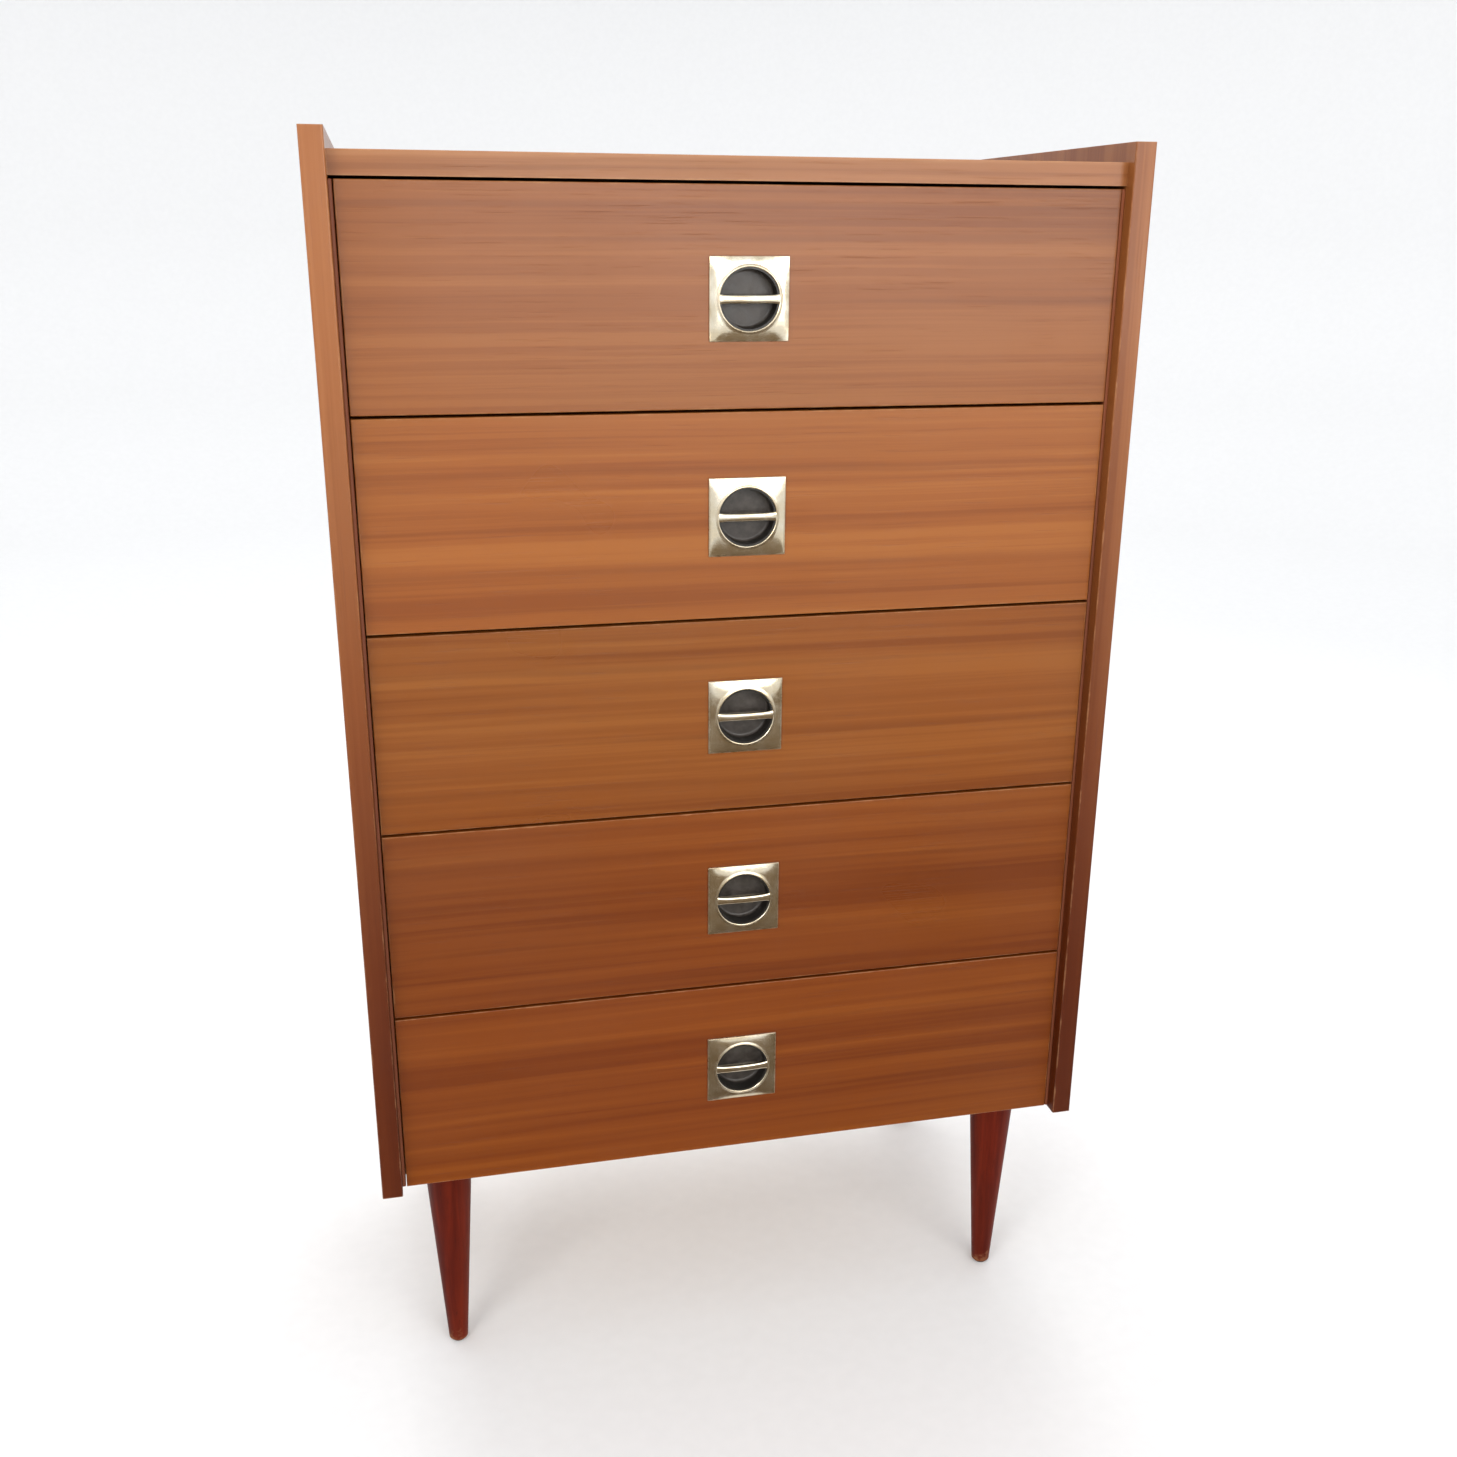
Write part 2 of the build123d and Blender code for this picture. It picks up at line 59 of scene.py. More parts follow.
# ---- shader graph helper ----
class Finish:
    """A material whose nodes are added one call at a time."""

    def __init__(self, name):
        self.material = bpy.data.materials.new(name)
        self.material.use_nodes = True
        self.tree = self.material.node_tree
        self.shader = self.tree.nodes["Principled BSDF"]
        self.place = self.add("ShaderNodeTexCoord").outputs["Object"]

    def add(self, kind, **settings):
        node = self.tree.nodes.new(kind)
        for key, value in settings.items():
            setattr(node, key, value)
        return node

    def feed(self, socket, value):
        if isinstance(value, bpy.types.NodeSocket):
            self.tree.links.new(value, socket)
        else:
            socket.default_value = value

    def stretched(self, scale, shift=(0, 0, 0), turn=(0, 0, 0), of=None):
        """Coordinates stretched by a factor along each axis."""
        node = self.add("ShaderNodeMapping")
        self.feed(node.inputs["Vector"], of or self.place)
        node.inputs["Scale"].default_value = scale
        node.inputs["Location"].default_value = shift
        node.inputs["Rotation"].default_value = turn
        return node.outputs["Vector"]

    def turned_along(self, grain, shift):
        """Coordinates turned so that their first one runs along the grain."""
        return self.stretched((1, 1, 1), shift, GRAIN_TURN[grain])

    def noise(self, where, scale=1.0, detail=3.0, rough=0.5, twist=0.0):
        node = self.add("ShaderNodeTexNoise")
        self.feed(node.inputs["Vector"], where)
        node.inputs["Scale"].default_value = scale
        node.inputs["Detail"].default_value = detail
        node.inputs["Roughness"].default_value = rough
        node.inputs["Distortion"].default_value = twist
        return node.outputs["Fac"]

    def math(self, operation, a, b):
        node = self.add("ShaderNodeMath", operation=operation)
        self.feed(node.inputs[0], a)
        self.feed(node.inputs[1], b)
        return node.outputs[0]

    def vector(self, operation, a, b):
        node = self.add("ShaderNodeVectorMath", operation=operation)
        self.feed(node.inputs[0], a)
        self.feed(node.inputs[1], b)
        return node.outputs[0]

    def split(self, vector):
        node = self.add("ShaderNodeSeparateXYZ")
        self.feed(node.inputs[0], vector)
        return node.outputs

    def span(self, value, low, high, to_low=0.0, to_high=1.0):
        """The value's stretch from low to high, moved to another stretch and held there."""
        node = self.add("ShaderNodeMapRange", clamp=True, interpolation_type="SMOOTHSTEP")
        self.feed(node.inputs["Value"], value)
        node.inputs["From Min"].default_value = low
        node.inputs["From Max"].default_value = high
        node.inputs["To Min"].default_value = to_low
        node.inputs["To Max"].default_value = to_high
        return node.outputs["Result"]

    def ramp(self, value, stops):
        node = self.add("ShaderNodeValToRGB")
        node.color_ramp.interpolation = "EASE"
        self.feed(node.inputs["Fac"], value)
        points = node.color_ramp.elements
        while len(points) < len(stops):
            points.new(1.0)
        for point, (position, colour) in zip(points, stops):
            point.position = position
            point.color = (*colour, 1.0)
        return node.outputs["Color"]

    def mix(self, share, a, b, kind="MIX"):
        node = self.add("ShaderNodeMix", data_type="RGBA", blend_type=kind)
        self.feed(node.inputs["Factor"], share)
        self.feed(node.inputs[6], a if isinstance(a, bpy.types.NodeSocket) else (*a, 1.0))
        self.feed(node.inputs[7], b if isinstance(b, bpy.types.NodeSocket) else (*b, 1.0))
        return node.outputs[2]

    def bump(self, height, depth, strength):
        node = self.add("ShaderNodeBump")
        self.feed(node.inputs["Height"], height)
        node.inputs["Distance"].default_value = depth
        node.inputs["Strength"].default_value = strength
        return node.outputs["Normal"]

    def edge_distance(self, low, high):
        """Distance from a point on a board's surface to the nearest edge of that board."""
        near = self.vector("MINIMUM", self.vector("SUBTRACT", self.place, tuple(low)),
                           self.vector("SUBTRACT", tuple(high), self.place))
        x, y, z = self.split(near)
        return self.math("MAXIMUM", self.math("MINIMUM", x, y),
                         self.math("MINIMUM", self.math("MAXIMUM", x, y), z))

    def done(self, colour, rough, normal=None, **fixed):
        """Feeds the shader and hands the material over."""
        self.feed(self.shader.inputs["Base Color"], colour)
        self.feed(self.shader.inputs["Roughness"], rough)
        if normal is not None:
            self.feed(self.shader.inputs["Normal"], normal)
        for socket, value in fixed.items():
            self.shader.inputs[socket.replace("_", " ")].default_value = value
        return self.material


# ---- woods ----
TEAK = {
    "dark": (0.220, 0.058, 0.008),
    "mid": (0.272, 0.080, 0.013),
    "light": (0.318, 0.103, 0.020),
    "vein": (0.130, 0.028, 0.005),
    "rubbed": (0.520, 0.270, 0.120),
}
PAINTED_SHADE_HEIGHTS = (0.26, 1.10)               # heights between which painted shade fades out toward the top
PAINTED_SHADE_LOW = (0.72, 0.54, 0.22)       # painted shade: what the finish is multiplied by at the lower height
# painted shade for the side boards at the lower height, deeper still
PAINTED_SHADE_LOW_SIDES = (0.58, 0.40, 0.20)
LIPPING_DEPTH = 14 * MM             # solid strip along a side board's front edge
# painted shade on the solid front strip, multiplied on more strongly toward the floor
LIPPING_PAINTED_SHADE = (0.50, 0.34, 0.34)


def veneer(name, grain, box, shift, tint, shade_low=PAINTED_SHADE_LOW, lipped=False):
    """Satin-lacquered veneer: long fine streaks along the grain, with painted shade that deepens its colour
    toward the floor.

    A lipped board has a strip of solid wood along its front edge, which takes more painted shade lower down.
    """
    f = Finish(name)
    along = f.turned_along(grain, shift)
    wander = f.noise(f.stretched((1.1, 4.0, 4.0), of=along), 1.0, 1.0)
    ripple = f.noise(f.stretched((8.0, 14.0, 14.0), (5.0, 2.0, 1.0), of=along), 1.0, 2.0)
    swing = f.math("ADD", f.math("MULTIPLY", f.math("SUBTRACT", wander, 0.5), 0.016),
                   f.math("MULTIPLY", f.math("SUBTRACT", ripple, 0.5), 0.0022))
    x, y, z = f.split(along)
    flow = f.add("ShaderNodeCombineXYZ")
    f.feed(flow.inputs[0], x)
    f.feed(flow.inputs[1], f.math("ADD", y, swing))
    f.feed(flow.inputs[2], f.math("ADD", z, swing))
    flow = flow.outputs[0]

    bands = f.noise(f.stretched((0.6, 34.0, 34.0), of=flow), 1.0, 1.0, 0.5)
    streaks = f.noise(f.stretched((0.9, 108.0, 108.0), (0.0, 3.0, 7.0), of=flow), 1.0, 1.0, 0.5)
    lines = f.noise(f.stretched((2.2, 330.0, 330.0), (9.0, 1.0, 4.0), of=flow), 1.0, 3.0, 0.6)
    threads = f.noise(f.stretched((14.0, 900.0, 900.0), of=flow), 1.0, 3.0, 0.65)
    cloud = f.noise(along, 3.2, 2.0, 0.5)

    tone = f.math("ADD", f.math("MULTIPLY", bands, 0.40), f.math("MULTIPLY", streaks, 0.34))
    tone = f.math("ADD", tone, f.math("MULTIPLY", lines, 0.26))
    colour = f.ramp(tone, [(0.38, TEAK["dark"]), (0.50, TEAK["mid"]), (0.62, TEAK["light"])])
    vein = f.span(f.noise(f.stretched((0.6, 92.0, 92.0), (3.1, 0.7, 0.4), of=flow), 1.0, 1.0, 0.5),
                  0.58, 0.76)
    colour = f.mix(f.math("MULTIPLY", vein, 0.27), colour, TEAK["vein"])
    pores = f.span(threads, 0.58, 0.74)
    colour = f.mix(f.math("MULTIPLY", pores, 0.26), colour, TEAK["vein"])
    colour = f.mix(f.span(cloud, 0.20, 0.80, 0.0, 0.36), colour, (1.14, 0.96, 0.84), "MULTIPLY")
    # Each board's tint: its own tone, and on the top, the sides and the drawer fronts partly painted sheen
    # and painted shade.
    colour = f.mix(1.0, colour, tint, "MULTIPLY")
    across, height = f.split(f.place)[1:]
    # Painted shade: the finish darkens and deepens in colour from the top down to the floor, where less
    # light falls.
    unlit = f.span(height, *PAINTED_SHADE_HEIGHTS, 1.0, 0.0)
    colour = f.mix(unlit, colour, shade_low, "MULTIPLY")
    # The lipping gets extra painted shade lower down.
    if lipped:
        joint = box[0].y + LIPPING_DEPTH
        lipping = f.span(across, joint - 0.3 * MM, joint, 1.0, 0.0)
        colour = f.mix(f.math("MULTIPLY", lipping, unlit), colour, LIPPING_PAINTED_SHADE, "MULTIPLY")

    chafe = f.math("MULTIPLY", f.noise(along, 46.0, 5.0, 0.7), 0.0050)
    rub = f.math("ADD", f.edge_distance(*box), chafe)
    worn = f.span(rub, 0.0022, 0.0036, 0.30, 0.0)
    colour = f.mix(worn, colour, TEAK["rubbed"])

    smudge = f.noise(along, 5.0, 2.0, 0.5)
    rough = f.math("ADD", f.span(smudge, 0.15, 0.85, 0.26, 0.38), f.math("MULTIPLY", pores, 0.12))
    rough = f.math("ADD", rough, f.math("MULTIPLY", worn, 0.20))
    relief = f.math("SUBTRACT", f.math("MULTIPLY", lines, 0.35), f.math("MULTIPLY", pores, 0.8))
    normal = f.bump(relief, 0.00010, 0.6)
    return f.done(colour, rough, normal, Specular_IOR_Level=0.35, Coat_Weight=0.08, Coat_Roughness=0.16)


def plain_wood(name, grain, shift, light, dark, rough=(0.55, 0.72)):
    """Unfinished or waxed timber: soft annual bands, flecks and a dry surface."""
    f = Finish(name)
    along = f.turned_along(grain, shift)
    bands = f.noise(f.stretched((1.5, 38.0, 38.0), of=along), 1.0, 4.0, 0.55, 0.3)
    flecks = f.noise(f.stretched((55.0, 620.0, 620.0), of=along), 1.0, 2.0, 0.6)
    stains = f.noise(along, 4.0, 4.0, 0.6)
    colour = f.ramp(bands, [(0.30, dark), (0.68, light)])
    fleck = f.span(flecks, 0.60, 0.74)
    colour = f.mix(f.math("MULTIPLY", fleck, 0.30), colour, tuple(c * 0.45 for c in dark))
    colour = f.mix(f.span(stains, 0.48, 0.80, 0.0, 0.35), colour, (0.80, 0.72, 0.62), "MULTIPLY")
    dry = f.span(bands, 0.3, 0.7, *rough)
    normal = f.bump(f.math("SUBTRACT", bands, f.math("MULTIPLY", fleck, 0.8)), 0.00012, 0.7)
    return f.done(colour, dry, normal)


def stained_leg(name, shift):
    """Dark red-brown stained beech under satin lacquer, rubbed pale at the foot."""
    f = Finish(name)
    along = f.turned_along("z", shift)
    bands = f.noise(f.stretched((2.2, 90.0, 90.0), of=along), 1.0, 4.0, 0.6, 0.4)
    flecks = f.noise(f.stretched((60.0, 700.0, 700.0), of=along), 1.0, 2.0)
    cloud = f.noise(along, 14.0, 3.0)
    colour = f.ramp(bands, [(0.30, (0.068, 0.006, 0.002)), (0.70, (0.130, 0.014, 0.004))])
    colour = f.mix(f.span(flecks, 0.60, 0.76, 0.0, 0.5), colour, (0.030, 0.006, 0.003))
    colour = f.mix(f.span(cloud, 0.4, 0.7, 0.0, 0.35), colour, (1.25, 1.05, 0.95), "MULTIPLY")
    height = f.split(f.place)[2]
    scuffed = f.math("ADD", height, f.math("MULTIPLY", f.noise(along, 90.0, 5.0, 0.7), 0.05))
    scuff = f.span(scuffed, 0.026, 0.040, 0.55, 0.0)
    colour = f.mix(scuff, colour, (0.33, 0.15, 0.07))
    rough = f.math("ADD", f.span(cloud, 0.3, 0.8, 0.42, 0.56), f.math("MULTIPLY", scuff, 0.3))
    normal = f.bump(f.math("SUBTRACT", bands, flecks), 0.00008, 0.6)
    return f.done(colour, rough, normal, Specular_IOR_Level=0.07)


def hardboard(name, shift, tone=(0.200, 0.110, 0.052)):
    """Pressed-fibre board: matted fibres, a slight sheen and faint dark stains."""
    f = Finish(name)
    where = f.stretched((1, 1, 1), shift)
    fibres = f.noise(where, 420.0, 5.0, 0.75, 1.5)
    clouds = f.noise(where, 11.0, 4.0, 0.6)
    colour = f.ramp(f.math("ADD", f.math("MULTIPLY", fibres, 0.72), f.math("MULTIPLY", clouds, 0.28)),
                    [(0.34, tuple(c * 0.70 for c in tone)), (0.66, tuple(c * 1.25 for c in tone))])
    colour = f.mix(f.span(f.noise(where, 2.2, 5.0, 0.65), 0.45, 0.80, 0.0, 0.22), colour,
                   (0.66, 0.62, 0.58), "MULTIPLY")
    rough = f.span(fibres, 0.3, 0.7, 0.48, 0.66)
    return f.done(colour, rough, f.bump(fibres, 0.00010, 0.6))


# ---- metals and plastics ----
def polished_brass(name):
    """Pale polished brass plating, tarnished a little at the edges and round the hole."""
    f = Finish(name)
    seam = f.add("ShaderNodeAttribute", attribute_name="from_rim").outputs["Fac"]
    cloud = f.noise(f.place, 55.0, 5.0, 0.65)
    spots = f.noise(f.place, 520.0, 3.0, 0.6)
    wipes = f.noise(f.stretched((160.0, 160.0, 1400.0), turn=(0.0, 0.35, 0.0)), 1.0, 3.0, 0.6)
    colour = f.ramp(cloud, [(0.30, (0.80, 0.68, 0.47)), (0.72, (0.95, 0.88, 0.72))])
    grime = f.span(f.math("ADD", seam, f.math("MULTIPLY", cloud, 0.0022)), 0.0012, 0.0032, 0.42, 0.0)
    colour = f.mix(grime, colour, (0.30, 0.20, 0.09))
    pit = f.span(spots, 0.66, 0.78, 0.0, 0.55)
    colour = f.mix(pit, colour, (0.42, 0.30, 0.14))
    rough = f.math("ADD", f.span(cloud, 0.3, 0.75, 0.10, 0.22), f.math("MULTIPLY", grime, 0.35))
    rough = f.math("ADD", rough, f.math("MULTIPLY", pit, 0.3))
    rough = f.math("ADD", rough, f.span(wipes, 0.45, 0.75, 0.0, 0.07))
    return f.done(colour, rough, f.bump(wipes, 0.00002, 0.35), Metallic=1.0)


def zinc(name, tone=(0.55, 0.54, 0.50)):
    """Bright zinc plating on steel, dulled in patches."""
    f = Finish(name)
    cloud = f.noise(f.place, 130.0, 4.0, 0.65)
    colour = f.ramp(cloud, [(0.3, tuple(c * 0.62 for c in tone)), (0.7, tone)])
    rough = f.span(cloud, 0.3, 0.7, 0.46, 0.28)
    return f.done(colour, rough, f.bump(f.noise(f.place, 900.0, 2.0), 0.00002, 0.5), Metallic=1.0)


def black_cup(name):
    """Black moulded plastic with a fine grain, greyed in patches by fingertips and dust; painted shade
    darkens its walls near the front, which leaves the floor greyer.
    """
    f = Finish(name)
    dust = f.noise(f.place, 120.0, 5.0, 0.65)
    colour = f.ramp(dust, [(0.30, (0.034, 0.027, 0.022)), (0.72, (0.068, 0.057, 0.048))])
    inward = f.split(f.place)[1]
    # Painted shade: the cup's walls, from the hole to near its floor, are darkened as if in the shade of the
    # recess.
    rim = f.span(inward, FACE_Y + 7.0 * MM, FACE_Y + 11.6 * MM, 1.0, 0.0)
    colour = f.mix(rim, colour, (0.012, 0.010, 0.008))
    rough = f.span(dust, 0.3, 0.7, 0.32, 0.48)
    return f.done(colour, rough, f.bump(f.noise(f.place, 2600.0, 2.0), 0.00003, 0.6))


def glide_plastic(name):
    """Brown-black moulded plastic, scratched by the floor."""
    f = Finish(name)
    scratch = f.noise(f.stretched((900.0, 120.0, 900.0)), 1.0, 4.0, 0.7)
    colour = f.ramp(scratch, [(0.35, (0.020, 0.017, 0.014)), (0.70, (0.085, 0.075, 0.064))])
    return f.done(colour, f.span(scratch, 0.3, 0.7, 0.42, 0.68), f.bump(scratch, 0.00004, 0.6))


def dress(node, material):
    """The CAD node keeps its mesh and takes this finish."""
    for slot in nodes[node].material_slots:
        slot.material = material


# ---- new pieces ----
SHARP_ANGLE = math.radians(40.0)


def finished(bm, name, material, body, round_width, replaced=()):
    """Turns a bmesh in the chest's frame into a finished piece with rounded edges."""
    bmesh.ops.remove_doubles(bm, verts=bm.verts, dist=1e-6)
    bmesh.ops.recalc_face_normals(bm, faces=bm.faces)
    mesh = bpy.data.meshes.new(name)
    bm.to_mesh(mesh)
    bm.free()
    piece = bpy.data.objects.new(name, mesh)
    bpy.context.collection.objects.link(piece)
    mesh.materials.append(material)
    mesh.shade_smooth()
    mesh.set_sharp_from_angle(angle=SHARP_ANGLE)
    bevel = piece.modifiers.new("rounded_edges", "BEVEL")
    bevel.width = round_width
    bevel.segments = 3
    bevel.limit_method = "ANGLE"
    bevel.angle_limit = SHARP_ANGLE
    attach(piece, body)
    if replaced:
        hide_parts(*replaced)
    return piece


RING_EDGES = 64


def ring(bm, radius, y):
    """A circle of edges that faces the front, at the depth y."""
    made = bmesh.ops.create_circle(bm, cap_ends=False, radius=radius, segments=RING_EDGES)
    bmesh.ops.rotate(bm, verts=made["verts"], cent=(0, 0, 0), matrix=Matrix.Rotation(math.pi / 2, 3, "X"))
    bmesh.ops.translate(bm, verts=made["verts"], vec=(0, y, 0))
    return list({edge for vert in made["verts"] for edge in vert.link_edges})


def square_ring(bm, half, y):
    """A square of edges that faces the front, with as many edges as a ring."""
    cells = RING_EDGES // 4
    made = bmesh.ops.create_grid(bm, x_segments=cells, y_segments=cells, size=half)
    rim = [v for v in made["verts"] if v.is_boundary]
    inside = [v for v in made["verts"] if not v.is_boundary]
    bmesh.ops.delete(bm, geom=inside, context="VERTS")
    rim = [v for v in rim if v.is_valid]
    corner_faces = list({face for v in rim for face in v.link_faces})
    bmesh.ops.delete(bm, geom=corner_faces, context="FACES_ONLY")
    bmesh.ops.rotate(bm, verts=rim, cent=(0, 0, 0), matrix=Matrix.Rotation(math.pi / 2, 3, "X"))
    bmesh.ops.translate(bm, verts=rim, vec=(0, y, 0))
    return list({edge for vert in rim for edge in vert.link_edges})


def bridge(bm, first, second):
    """Faces between two loops of edges."""
    return bmesh.ops.bridge_loops(bm, edges=first + second)["edges"]


PLATE = 34.0 * MM                   # half of the plate's side
HOLE = 25.5 * MM                    # radius
CROWN = 4.4 * MM                    # how far the plate stands off the drawer in its middle
EDGE = 1.6 * MM                     # and at its edges
PULL_EDGE_ROUND = 0.4 * MM
# The rolled rim, ring by ring: mm outside the hole, and mm above the plate.
RIM = ((1.5, 0.28), (0.8, 0.42), (0.3, 0.30), (0.05, -0.10), (0.0, -0.8))
RIM_CREST = 1.4 * MM                # where tarnish gathers, outside the hole
COLLAR = 1.3 * MM                   # wall of the collar behind the hole
COLLAR_DEPTH = 5.5 * MM
BAR = 3.5 * MM                      # half of the bar's height
BAR_FRONT = 5.2 * MM                # how far the bar's middle stands off the drawer
BAR_BOW = 1.75 * MM                 # how much less its ends do
BAR_BACK = 1.5 * MM                 # behind the face of the drawer
BAR_STEPS = 24


def pillow(place):
    """How far the plate stands off the drawer there: flat in the middle, rolling over to its edges."""
    across, up = 1 - abs(place.x / PLATE) ** 4, 1 - abs(place.z / PLATE) ** 4
    return EDGE + (CROWN - EDGE) * max(across, 0.0) * max(up, 0.0)


def pull_plate():
    """One pull about its own middle, y = 0 on the face of the drawer: pillowed plate with a rolled rim."""
    bm = bmesh.new()
    outer_back = square_ring(bm, PLATE, 0.0)
    outer_front = square_ring(bm, PLATE, -0.2 * MM)
    crown_start = ring(bm, HOLE + 2.2 * MM, -1.0 * MM)
    bridge(bm, outer_back, outer_front)
    spokes = bridge(bm, outer_front, crown_start)
    bmesh.ops.subdivide_edges(bm, edges=spokes, cuts=7, use_grid_fill=True)
    for vert in bm.verts:
        if vert.co.y < -0.1 * MM:
            vert.co.y = -pillow(vert.co)
    # The rim rolls over into the hole and runs back as a collar round the cup.
    previous = crown_start
    for outside, proud in RIM:
        next_ring = ring(bm, HOLE + outside * MM, 0.0)
        for vert in {vert for edge in next_ring for vert in edge.verts}:
            vert.co.y = -(pillow(vert.co) + proud * MM)
        bridge(bm, previous, next_ring)
        previous = next_ring
    collar_front = ring(bm, HOLE, COLLAR_DEPTH)
    collar_back = ring(bm, HOLE + COLLAR, COLLAR_DEPTH + 0.4 * MM)
    collar_root = ring(bm, HOLE + COLLAR, 0.4 * MM)
    bridge(bm, previous, collar_front)
    bridge(bm, collar_front, collar_back)
    bridge(bm, collar_back, collar_root)
    bridge(bm, collar_root, outer_back)
    return bm


def pull_bar():
    """The finger bar about the pull's middle: bowed, flat-fronted and flaring into the rim."""
    bm = bmesh.new()
    made = bmesh.ops.create_circle(bm, cap_ends=True, radius=BAR, segments=24)
    bmesh.ops.rotate(bm, verts=made["verts"], cent=(0, 0, 0), matrix=Matrix.Rotation(math.pi / 2, 3, "Y"))
    start = bm.faces[:]
    half_length = HOLE + 0.6 * MM
    bmesh.ops.translate(bm, verts=bm.verts, vec=(-half_length, 0, 0))
    for _ in range(BAR_STEPS):
        grown = bmesh.ops.extrude_face_region(bm, geom=start)
        moved = [v for v in grown["geom"] if isinstance(v, bmesh.types.BMVert)]
        bmesh.ops.translate(bm, verts=moved, vec=(2 * half_length / BAR_STEPS, 0, 0))
        bmesh.ops.delete(bm, geom=start, context="FACES_ONLY")
        start = [v for v in grown["geom"] if isinstance(v, bmesh.types.BMFace)]
    for vert in bm.verts:
        share = abs(vert.co.x) / half_length
        flare = 1.0 + 0.35 * share**8
        front = BAR_FRONT - BAR_BOW * share**2
        middle, reach = (BAR_BACK - front) / 2, (front + BAR_BACK) / 2
        turn = vert.co.y / BAR
        flattened = math.copysign(abs(turn) ** 0.50, turn)
        vert.co.y = middle + flattened * reach
        height = vert.co.z / BAR
        vert.co.z = math.copysign(abs(height) ** 0.62, height) * BAR * flare
    return bm


def joined(*parts):
    """Several bmeshes as one."""
    whole = bmesh.new()
    for part in parts:
        mesh = bpy.data.meshes.new("part")
        part.to_mesh(mesh)
        part.free()
        whole.from_mesh(mesh)
        bpy.data.meshes.remove(mesh)
    return whole


def write_rim_distance(mesh, centre):
    """Keeps each point's distance from the rim of the hole or from the plate's edge, for the brass."""
    seam = mesh.attributes.new("from_rim", "FLOAT", "POINT")
    for vert, item in zip(mesh.vertices, seam.data):
        across, up = vert.co.x - centre.x, vert.co.z - centre.z
        to_hole = abs(math.hypot(across, up) - HOLE - RIM_CREST)
        to_edge = PLATE - max(abs(across), abs(up))
        item.value = min(to_hole, max(to_edge, 0.0))


GAP_STRIP = 3.2 * MM                # thickness, out of the 4 mm between a side board and a front
GAP_STRIP_DEPTH = 16.0 * MM
GAP_STRIP_SET_BACK = 1.2 * MM       # behind the drawer fronts' faces
GAP_STRIP_FOOT = 1.5 * MM           # above the foot of the side board
GAP_STRIP_ROUND = 1.6 * MM          # its inner front corner
GAP_STRIP_EDGE_ROUND = 0.5 * MM


def lay_gap_strips(wood):
    """A thin strip down each side board's inner face, which leaves a fine gap beside the drawer fronts.

    Its inner front corner is rounded off so that it leads the drawers in.
    """
    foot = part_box("side_left")[0].z + GAP_STRIP_FOOT
    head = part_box("drawer_1_front")[1].z
    strip_front = FACE_Y + GAP_STRIP_SET_BACK
    for node, inner, inward in (("side_left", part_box("side_left")[1].x, 1),
                                ("side_right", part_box("side_right")[0].x, -1)):
        bm = bmesh.new()
        bmesh.ops.create_cube(bm, size=1.0)
        bmesh.ops.scale(bm, verts=bm.verts, vec=(GAP_STRIP, GAP_STRIP_DEPTH, head - foot))
        middle = Vector((inner + inward * GAP_STRIP / 2,
                         strip_front + GAP_STRIP_DEPTH / 2,
                         (head + foot) / 2))
        bmesh.ops.translate(bm, verts=bm.verts, vec=middle)
        corner = Vector((inner + inward * GAP_STRIP, strip_front))
        lead_in = [edge for edge in bm.edges
                   if all((vert.co.xy - corner).length < 0.01 * MM for vert in edge.verts)]
        bmesh.ops.bevel(bm, geom=lead_in, offset=GAP_STRIP_ROUND, segments=6, profile=0.5, affect="EDGES")
        finished(bm, f"{node}_gap_strip", wood, "carcass", GAP_STRIP_EDGE_ROUND)


# ---- finishes on the CAD pieces ----
def dress_carcass():
    """Finishes for the boards, the runners, the legs and their fixings."""
    # The sides' tints, high in green and blue, are partly painted sheen that pales them.
    for node, shift, tint in (("side_left", (0.3, 0.1, 0.0), (1.05, 1.22, 1.90)),
                              ("side_right", (1.7, 0.6, 0.0), (0.94, 1.06, 1.60))):
        dress(node, veneer(f"{node}_veneer", "z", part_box(node), shift, tint, PAINTED_SHADE_LOW_SIDES, lipped=True))
    # The top's tint, high in green and blue, is painted sheen that pales it.
    dress("top_panel", veneer("top_veneer", "x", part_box("top_panel"), (0.2, 0.9, 0.4), (0.98, 1.24, 2.20)))
    dress("bottom_panel", plain_wood("bottom_board", "x", (0.1, 0.2, 0.3),
                                     (0.42, 0.27, 0.14), (0.27, 0.15, 0.07)))
    dress("back_panel", hardboard("back_hardboard", (0.4, 0.2, 0.7)))
    dress("back_panel_pins", zinc("pin_steel", (0.42, 0.40, 0.37)))
    dress("carcass_dowels", plain_wood("dowel_beech", "x", (0.5, 0.5, 0.5),
                                       (0.66, 0.47, 0.29), (0.50, 0.33, 0.19)))
    runner_wood = plain_wood("runner_beech", "y", (0.2, 0.8, 0.1),
                             (0.58, 0.38, 0.21), (0.42, 0.25, 0.12), (0.38, 0.55))
    for node in ("runners_left", "runners_right"):
        dress(node, runner_wood)
    screw_zinc = zinc("screw_zinc")
    for node in ("runner_screws", "leg_plate_screws"):
        dress(node, screw_zinc)
    plate_steel = zinc("leg_plate_steel", (0.50, 0.49, 0.46))
    for node in ("leg_plates", "leg_bolts"):
        dress(node, plate_steel)
    for number, node in enumerate(LEGS):
        dress(node, stained_leg(f"{node}_stain", (0.37 * number, 0.11 * number, 0.0)))
    dress("leg_glides", glide_plastic("glide_plastic"))


# Each drawer front's own tone, partly painted shade: the lower drawers are darker and deeper in colour.
FRONT_TINTS_AND_SHADE = {
    "drawer_1": (0.80, 0.85, 1.00),
    "drawer_2": (0.99, 1.06, 1.02),
    "drawer_3": (0.87, 0.96, 0.94),
    "drawer_4": (0.81, 0.79, 0.64),
    "drawer_5": (0.88, 0.88, 0.66),
}


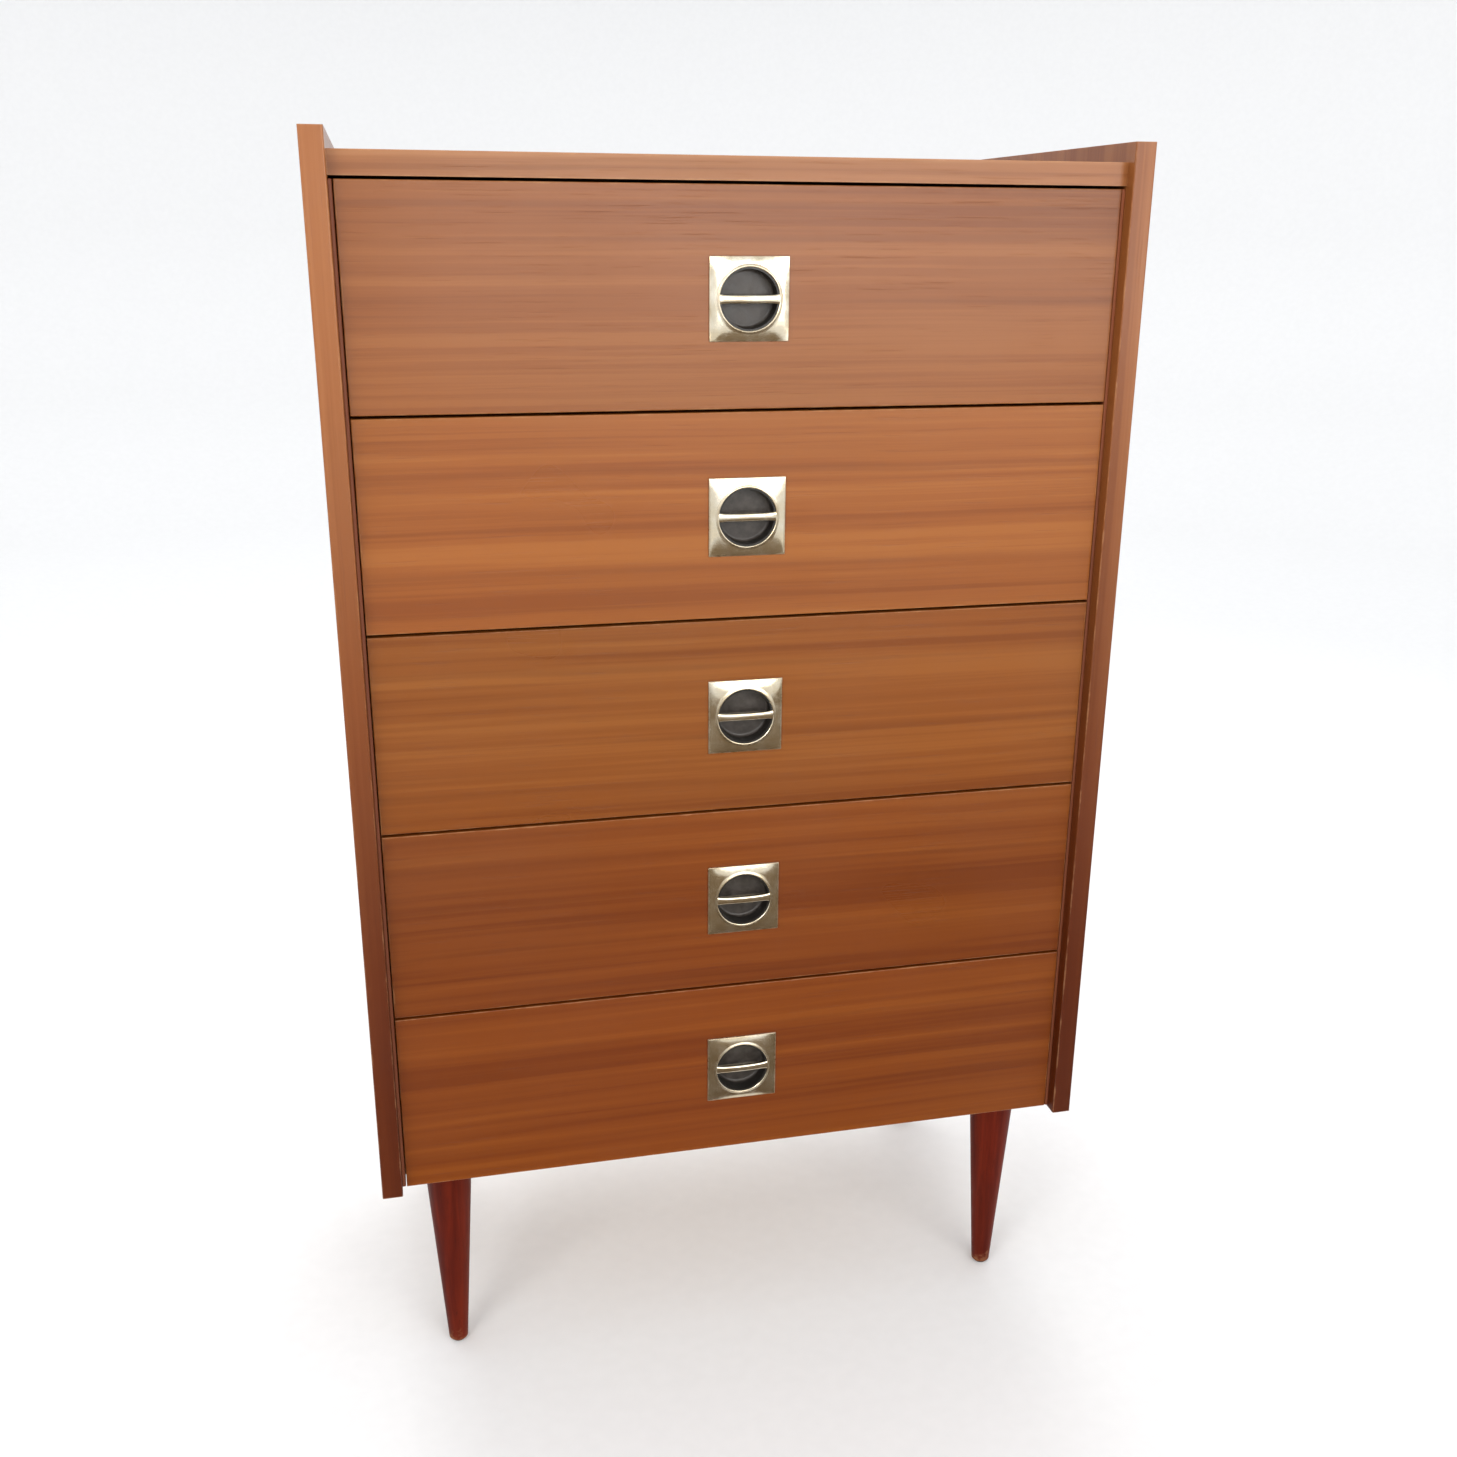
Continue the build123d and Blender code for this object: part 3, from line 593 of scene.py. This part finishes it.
def dress_drawer(drawer):
    """Finishes for a drawer's front and box, each drawer from its own part of the log; the front's tint is
    partly painted shade.
    """
    number = DRAWERS.index(drawer)
    front = f"{drawer}_front"
    dress(front, veneer(f"{front}_veneer", "x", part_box(front), (0.9 * number, 0.23 * number, 0.0),
                        FRONT_TINTS_AND_SHADE[drawer]))
    shift = (0.31 * number, 0.17 * number, 0.05)
    box_light, box_dark = (0.60, 0.42, 0.25), (0.43, 0.27, 0.145)
    side_wood = plain_wood(f"{drawer}_side_wood", "y", shift, box_light, box_dark)
    dress(f"{drawer}_side_left", side_wood)
    dress(f"{drawer}_side_right", side_wood)
    dress(f"{drawer}_back", plain_wood(f"{drawer}_back_wood", "x", shift, box_light, box_dark))
    dress(f"{drawer}_bottom", hardboard(f"{drawer}_bottom_board", shift, (0.27, 0.155, 0.078)))
    dress(f"{drawer}_pull_screws", zinc(f"{drawer}_pull_screw_zinc"))


def fit_pull(drawer, brass, plastic):
    """Sets a pull in the middle of the CAD one, and dresses the cup behind it."""
    low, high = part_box(f"{drawer}_pull_frame")
    centre = Vector(((low.x + high.x) / 2, FACE_Y, (low.z + high.z) / 2))
    bm = joined(pull_plate(), pull_bar())
    bmesh.ops.translate(bm, verts=bm.verts, vec=centre)
    plate = finished(bm, f"{drawer}_pull", brass, drawer, PULL_EDGE_ROUND,
                     (f"{drawer}_pull_frame",))
    write_rim_distance(plate.data, centre)
    dress(f"{drawer}_pull_cup", plastic)


# ---- studio ----
def studio():
    """A pale paper floor that sweeps up into a round wall."""
    bm = bmesh.new()
    profile = [(0.0, 0.0), (3.2, 0.0), (3.9, 0.12), (4.5, 0.50), (4.9, 1.10), (5.0, 1.80), (5.0, 3.60)]
    verts = [bm.verts.new((radius, 0, z)) for radius, z in profile]
    for first, second in zip(verts, verts[1:]):
        bm.edges.new((first, second))
    bmesh.ops.spin(bm, geom=bm.verts[:] + bm.edges[:], axis=(0, 0, 1), cent=(0, 0, 0), angle=2 * math.pi,
                   steps=96, use_merge=True)
    bmesh.ops.remove_doubles(bm, verts=bm.verts, dist=1e-5)
    bmesh.ops.recalc_face_normals(bm, faces=bm.faces)
    bmesh.ops.reverse_faces(bm, faces=bm.faces)
    mesh = bpy.data.meshes.new("studio_floor")
    bm.to_mesh(mesh)
    bm.free()
    mesh.shade_smooth()
    floor = bpy.data.objects.new("studio_floor", mesh)
    bpy.context.collection.objects.link(floor)
    f = Finish("pale_paper")
    paper = f.ramp(f.noise(f.place, 60.0, 3.0), [(0.2, (0.89, 0.89, 0.89)), (0.8, (0.91, 0.91, 0.91))])
    mesh.materials.append(f.done(paper, 0.9, Specular_IOR_Level=0.1))


def dark_flag():
    """A brown cloth on the floor before the drawers that only polished surfaces mirror."""
    bm = bmesh.new()
    bmesh.ops.create_grid(bm, x_segments=1, y_segments=1, size=1.0)
    bmesh.ops.scale(bm, verts=bm.verts, vec=(3.2, 1.7, 1.0))
    bmesh.ops.translate(bm, verts=bm.verts, vec=(0.0, -2.05, 0.004))
    mesh = bpy.data.meshes.new("dark_flag")
    bm.to_mesh(mesh)
    bm.free()
    flag = bpy.data.objects.new("dark_flag", mesh)
    bpy.context.collection.objects.link(flag)
    f = Finish("brown_cloth")
    cloth = f.ramp(f.noise(f.place, 90.0, 3.0), [(0.2, (0.10, 0.075, 0.050)), (0.8, (0.15, 0.115, 0.080))])
    mesh.materials.append(f.done(cloth, 0.9, Specular_IOR_Level=0.1))
    flag.visible_camera = False
    flag.visible_diffuse = False
    flag.visible_shadow = False


def softbox(name, place, target, size, power, tone):
    lamp = bpy.data.lights.new(name, "AREA")
    lamp.shape = "RECTANGLE"
    lamp.size, lamp.size_y = size
    lamp.energy = power
    lamp.color = tone
    holder = bpy.data.objects.new(name, lamp)
    bpy.context.collection.objects.link(holder)
    holder.location = place
    holder.rotation_euler = (Vector(target) - Vector(place)).to_track_quat("-Z", "Y").to_euler()


def light_studio():
    """Pale air and three large soft lights: in front, front left and above behind."""
    world = bpy.data.worlds.new("studio_air")
    bpy.context.scene.world = world
    world.use_nodes = True
    world.node_tree.nodes["Background"].inputs["Color"].default_value = (0.95, 0.97, 1.0, 1.0)
    world.node_tree.nodes["Background"].inputs["Strength"].default_value = 0.80
    softbox("key_softbox", (0.85, -3.0, 1.47), (0.0, -0.2, 0.90), (2.4, 1.4), 46.0, (1.0, 0.98, 0.95))
    softbox("left_softbox", (-1.8, -2.2, 1.90), (0.0, -0.2, 1.05), (1.2, 0.9), 28.0, (1.0, 0.98, 0.96))
    softbox("top_softbox", (0.0, 1.7, 3.4), (0.0, 0.6, 0.4), (3.2, 2.0), 60.0, (1.0, 1.0, 1.0))


def camera():
    """Stands a little to the left at about the height of the top, and looks down at the drawers."""
    lens = bpy.data.cameras.new("camera")
    lens.lens = 36.6
    lens.sensor_width = 36.0
    holder = bpy.data.objects.new("camera", lens)
    bpy.context.collection.objects.link(holder)
    holder.location = (-0.2993, -1.4268, 1.0850)
    holder.rotation_euler = (
        Matrix.Rotation(math.radians(-12.918), 3, "Z")
        @ Matrix.Rotation(math.radians(90 - 18.497), 3, "X")
        @ Matrix.Rotation(math.radians(0.362), 3, "Z")
    ).to_euler()
    bpy.context.scene.camera = holder


dress_carcass()
lay_gap_strips(plain_wood("gap_strip_wood", "z", (0.7, 0.3, 0.0),
                          (0.250, 0.062, 0.016), (0.170, 0.038, 0.009)))
brass = polished_brass("pull_brass")
plastic = black_cup("cup_plastic")
for drawer in DRAWERS:
    dress_drawer(drawer)
    fit_pull(drawer, brass, plastic)
studio()
dark_flag()
light_studio()
camera()
bpy.context.scene.view_settings.view_transform = "Standard"
